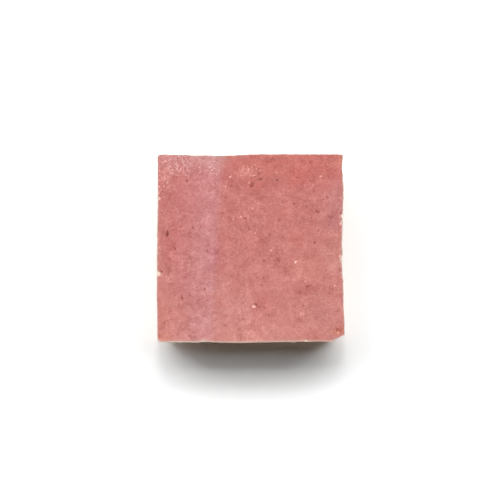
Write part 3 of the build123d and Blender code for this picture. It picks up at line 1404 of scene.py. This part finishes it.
@dataclass(frozen=True)
class Lamp:
    """A distant soft lamp. Its light is the light that it gives a level surface, 1 for full white."""

    name: str
    reach: Reach
    azimuth: float
    elevation: float
    light: float
    spread: float

    def hang(self, lit: bpy.types.Collection) -> None:
        """Hangs the lamp.

        Args:
            lit: what it lights.
        """
        data = bpy.data.lights.new(self.name, "SUN")
        data.energy = self.light * math.pi / math.sin(math.radians(self.elevation))
        data.angle = math.radians(self.spread)
        lamp = bpy.data.objects.new(self.name, data)
        lamp.rotation_euler = (math.radians(self.elevation - 90), 0.0, -math.radians(self.azimuth))
        bpy.context.scene.collection.objects.link(lamp)
        lamp.light_linking.receiver_collection = lit


@dataclass(frozen=True)
class Studio:
    """Plain white floor, soft lamps, white surroundings and a camera straight above the tile."""

    floor_size: float = 12.0
    floor_gap: float = 0.05 * MM
    floor_white: float = 0.92
    floor_seen: float = 1.47
    fill_light: float = 0.01
    camera_x: float = -0.36 * MM
    camera_y: float = -0.83 * MM
    camera_rise: float = 1.2
    face_height: float = 11.0 * MM
    picture_width: float = 268.8 * MM
    sensor: float = 36.0
    nearest: float = 0.01
    farthest: float = 50.0
    lamps: tuple[Lamp, ...] = (
        Lamp("west_low", Reach.FLOOR, -76.0, 14.0, 0.052, 18.0),
        Lamp("north_west_low", Reach.FLOOR, -56.0, 14.0, 0.141, 18.0),
        Lamp("north_north_west_low", Reach.FLOOR, -37.0, 14.0, 0.100, 18.0),
        Lamp("north_by_west_low", Reach.FLOOR, -18.0, 14.0, 0.079, 18.0),
        Lamp("north_low", Reach.FLOOR, 0.0, 14.5, 0.120, 24.0),
        Lamp("north_by_east_low", Reach.FLOOR, 17.0, 14.0, 0.070, 18.0),
        Lamp("north_north_east_low", Reach.FLOOR, 34.0, 14.0, 0.098, 18.0),
        Lamp("north_east_low", Reach.FLOOR, 54.0, 14.0, 0.088, 18.0),
        Lamp("north_middle", Reach.FLOOR, 0.0, 31.0, 0.118, 20.0),
        Lamp("east_middle", Reach.FLOOR, 60.0, 30.0, 0.086, 24.0),
        Lamp("tile_key", Reach.TILE, -35.0, 52.0, 0.318, 14.0),
        Lamp("tile_north_east", Reach.TILE, 55.0, 55.0, 0.1315, 30.0),
        Lamp("tile_south", Reach.TILE, 172.0, 54.0, 0.177, 26.0),
        Lamp("tile_west", Reach.TILE, -100.0, 58.0, 0.1565, 30.0),
        Lamp("tile_east", Reach.TILE, 100.0, 56.0, 0.1565, 30.0),
    )

    def build(self, tile: bpy.types.Object) -> None:
        """Sets the studio up round the tile.

        Args:
            tile: the dressed tile.
        """
        groups = {}
        for reach, thing in ((Reach.FLOOR, self._floor()), (Reach.TILE, tile)):
            groups[reach] = bpy.data.collections.new(reach.value)
            groups[reach].objects.link(thing)
        for lamp in self.lamps:
            lamp.hang(groups[lamp.reach])
        self._surroundings()
        self._camera()

    def _seen(self, wiring: Wiring) -> Socket:
        """Tells what the camera, a gloss or clear glass sees from all other light.

        Args:
            wiring: the wiring of a material or of the world.

        Returns:
            1 where one of them looks, and 0 elsewhere.
        """
        path = wiring.add("ShaderNodeLightPath", {}).outputs
        seen = wiring.maths("MAXIMUM", path["Is Camera Ray"], path["Is Glossy Ray"])
        return wiring.maths("MAXIMUM", seen, path["Is Transmission Ray"])

    def _floor(self) -> bpy.types.Object:
        """Lays the plain floor.

        Returns:
            The floor.
        """
        half = self.floor_size / 2
        mesh = bpy.data.meshes.new("floor")
        corners = [(-half, -half), (half, -half), (half, half), (-half, half)]
        mesh.from_pydata([(x, y, -self.floor_gap) for x, y in corners], [], [(0, 1, 2, 3)])
        floor = bpy.data.objects.new("floor", mesh)
        bpy.context.scene.collection.objects.link(floor)
        material = bpy.data.materials.new("white_floor")
        wiring = Wiring.fresh(material)
        white = wiring.number_mix(self._seen(wiring), self.floor_white, self.floor_seen)
        shader = wiring.add("ShaderNodeBsdfDiffuse", {"Color": white})
        wiring.add("ShaderNodeOutputMaterial", {"Surface": shader.outputs[0]})
        mesh.materials.append(material)
        return floor

    def _surroundings(self) -> None:
        """White for what the camera and a gloss see, and a faint fill for everything else."""
        world = bpy.data.worlds.new("white_surroundings")
        wiring = Wiring.fresh(world)
        ends: dict[Union[str, int], Feed] = {0: self._seen(wiring)}
        for end, strength in enumerate((self.fill_light, 1.0), 1):
            feeds = {"Color": opaque((1.0, 1.0, 1.0)), "Strength": strength}
            ends[end] = wiring.add("ShaderNodeBackground", feeds).outputs[0]
        mixed = wiring.add("ShaderNodeMixShader", ends)
        wiring.add("ShaderNodeOutputWorld", {"Surface": mixed.outputs[0]})
        bpy.context.scene.world = world

    def _camera(self) -> None:
        """Puts the camera straight above the tile, north up."""
        data = bpy.data.cameras.new("camera")
        data.sensor_width = self.sensor
        data.lens = self.sensor * self.camera_rise / self.picture_width
        data.clip_start = self.nearest
        data.clip_end = self.farthest
        camera = bpy.data.objects.new("camera", data)
        camera.location = (self.camera_x, self.camera_y, self.face_height + self.camera_rise)
        bpy.context.scene.collection.objects.link(camera)
        bpy.context.scene.camera = camera


# Assembly


@dataclass(frozen=True)
class ZelligeTile:
    """The finished tile: its skin, its relief and its finish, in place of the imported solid."""

    crease_angle: float = 34.0
    face: GlazedFace = GlazedFace()
    relief: FiredRelief = FiredRelief()
    finish: TileFinish = TileFinish()

    def build(self) -> bpy.types.Object:
        """Builds the tile and puts it in the frame.

        Returns:
            The tile's object.
        """
        solid = PackedSolid.of_node(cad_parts[NODE])
        piece = TileSkin(solid, self.face).build("glazed_tile")
        piece = self.relief.grow(piece, self.finish.material())
        piece.data.set_sharp_from_angle(angle=math.radians(self.crease_angle))
        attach(piece, BODY)
        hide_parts(NODE)
        return piece


def main() -> None:
    """Builds the tile and the studio, in order, and reports each."""
    logging.basicConfig(level=logging.INFO, format="%(message)s")
    bpy.context.scene.view_settings.view_transform = "Standard"
    tile = ZelligeTile().build()
    tile.data.calc_loop_triangles()
    log.info("glazed tile: %d points, %d triangles", len(tile.data.vertices), len(tile.data.loop_triangles))
    Studio().build(tile)
    log.info("studio: floor, lamps, surroundings and camera")


if __name__ == "__main__":
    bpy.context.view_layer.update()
    main()
